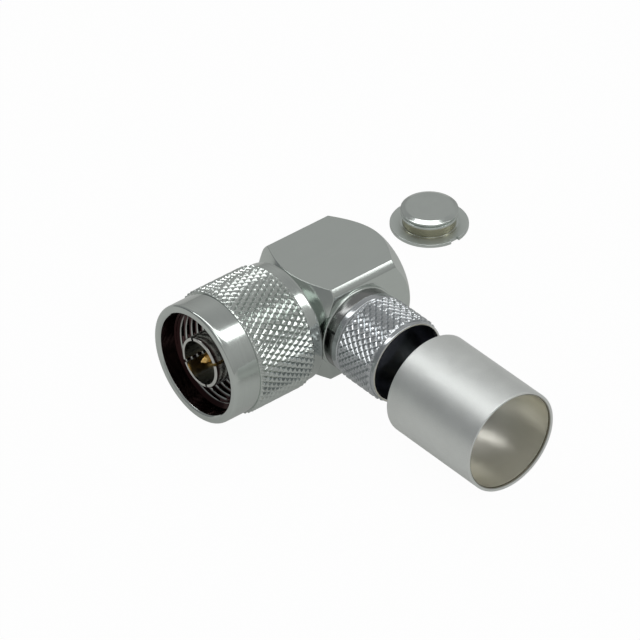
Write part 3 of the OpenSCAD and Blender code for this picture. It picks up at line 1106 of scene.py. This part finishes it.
@dataclass
class Studio:
    """Pale floor, two softboxes, grey room and the camera; lengths of lights are metres."""

    azimuth: float = 49.80
    elevation: float = 36.91
    lens: float = 369.4
    sensor: float = 36.0
    clip: Pair = (0.05, 20.0)
    distance: float = 0.9831
    shift_right: float = -0.09
    shift_up: float = -2.77
    right: tuple[float, float, float] = (0.645, 0.764, 0.0)
    away: tuple[float, float, float] = (-0.764, 0.645, 0.0)
    floor_z: float = -10.0
    floor_reach: float = 3000.0
    floor_points: int = 13
    paper: Colour = (0.82, 0.82, 0.81)
    paper_seen: float = 0.97
    paper_mirrored: float = 0.6
    mirror_grey: Colour = (0.42, 0.42, 0.41)
    dark_side: Colour = (0.19, 0.195, 0.2)
    dark_width: float = 0.7
    box_height: float = 0.6
    box_place: Pair = (0.12, 0.08)
    box_size: Pair = (1.7, 0.12)
    box_watts: float = 1.8
    box_turn: float = 40.2
    near_size: float = 0.3
    near_watts: float = 0.46
    near_way: tuple[float, float, float] = (0.33, -0.18, 0.93)
    near_reach: float = 0.65

    def camera(self) -> None:
        """Camera of the photograph: it looks at the post's line from azimuth and elevation."""
        a, e = math.radians(self.azimuth), math.radians(self.elevation)
        back = Vector((math.sin(a) * math.cos(e), -math.cos(a) * math.cos(e), math.sin(e)))
        right = Vector((math.cos(a), math.sin(a), 0.0))
        up = back.cross(right)
        target = Vector((0.0, POST_Y, 0.0)) + right * self.shift_right + up * self.shift_up
        lens = bpy.data.cameras.new("camera")
        lens.lens, lens.sensor_width = self.lens, self.sensor
        lens.clip_start, lens.clip_end = self.clip
        made = bpy.data.objects.new("camera", lens)
        made.location = target * MM + back * self.distance
        made.rotation_mode = "QUATERNION"
        made.rotation_quaternion = (-back).to_track_quat("-Z", "Y")
        bpy.context.scene.collection.objects.link(made)
        bpy.context.scene.camera = made

    def floor(self) -> None:
        """Flat pale floor under the nut, the ferrule and the cap: white paper to the camera, with a
        faint shadow left on it."""
        ticks = np.linspace(-self.floor_reach, self.floor_reach, self.floor_points)
        x, y = np.meshgrid(ticks, ticks, indexing="ij")
        points = np.stack([x, y, np.full_like(x, self.floor_z)], -1)
        number = np.arange(x.size).reshape(x.shape)
        faces = np.stack([number[:-1, :-1], number[1:, :-1], number[1:, 1:], number[:-1, 1:]], -1)
        floor = new_object("floor", points, faces.reshape(-1, 4))
        made, board = Finish("pale paper").board()
        paper = board.add("ShaderNodeBsdfDiffuse", {}, {"Color": (*self.paper, 1.0)})
        seen, mirrored, through = (board.add("ShaderNodeLightPath", out=f"Is {ray} Ray")
                                   for ray in ("Camera", "Glossy", "Transmission"))
        glow = board.add("ShaderNodeEmission", {}, {
            "Color": board.blend(seen, self.mirror_grey, (1.0, 1.0, 1.0)), "Strength": 1.0})
        share = seen * self.paper_seen + (mirrored + through) * self.paper_mirrored
        board.close(board.add("ShaderNodeMixShader", {}, {0: share, 1: paper, 2: glow}))
        floor.data.materials.append(made)

    def room(self) -> None:
        """Grey room: even overhead, darker at the left and near the horizon."""
        world = bpy.data.worlds.new("room")
        bpy.context.scene.world = world
        world.use_nodes = True
        board = Board(world.node_tree)
        way = board.add("ShaderNodeTexCoord", out="Generated")
        rise, side = (board.dot(way, v) for v in ((0.0, 0.0, 1.0), self.right))
        grey = board.add("ShaderNodeValToRGB", {"stops": [
            (0.0, (0.34, 0.34, 0.335, 1)), (1.0, (0.36, 0.36, 0.36, 1)),
            (0.35, (0.42, 0.42, 0.415, 1)), (0.6, (0.46, 0.46, 0.455, 1)),
            (0.85, (0.38, 0.38, 0.38, 1))]}, {"Fac": rise})
        lit = board.blend(((side + 1.0) / self.dark_width).held(), self.dark_side, grey)
        board.close(board.add("ShaderNodeBackground", {}, {"Color": lit, "Strength": 1.0}),
                    "ShaderNodeOutputWorld")

    def softbox(self) -> None:
        """Long narrow softbox overhead, its long side across the picture."""
        light = bpy.data.lights.new("softbox", "AREA")
        light.shape, light.energy = "RECTANGLE", self.box_watts
        light.size, light.size_y = self.box_size
        made = bpy.data.objects.new("softbox", light)
        aside, back = self.box_place
        place = Vector(self.right) * aside + Vector(self.away) * back
        made.location = place + Vector((0.0, POST_Y * MM, self.box_height))
        made.rotation_euler = (0.0, 0.0, math.radians(self.box_turn))
        bpy.context.scene.collection.objects.link(made)

    def near_box(self) -> None:
        """Small square softbox overhead on the camera's side, turned to face the plug."""
        light = bpy.data.lights.new("near box", "AREA")
        light.shape, light.energy, light.size = "SQUARE", self.near_watts, self.near_size
        made = bpy.data.objects.new("near box", light)
        way = Vector(self.near_way).normalized()
        made.location = way * self.near_reach + Vector((0.0, POST_Y * MM, 0.0))
        made.rotation_euler = (-way).to_track_quat("-Z", "Y").to_euler()
        bpy.context.scene.collection.objects.link(made)

    def build(self) -> None:
        """Sets up the camera, the floor and the light."""
        bpy.context.scene.view_settings.view_transform = "Standard"
        self.camera()
        self.floor()
        self.room()
        self.softbox()
        self.near_box()
        log.info("studio: camera at %.1f, %.1f degrees", self.azimuth, self.elevation)


def main() -> None:
    """Builds the studio and every sub-assembly in order."""
    logging.basicConfig(level=logging.INFO, format="%(name)s: %(message)s")
    for kind in (Studio, SquareBody, MatingEnd, CouplingNut, CablePost, Ferrule, AccessCap):
        kind().build()


if __name__ == "__main__":
    main()
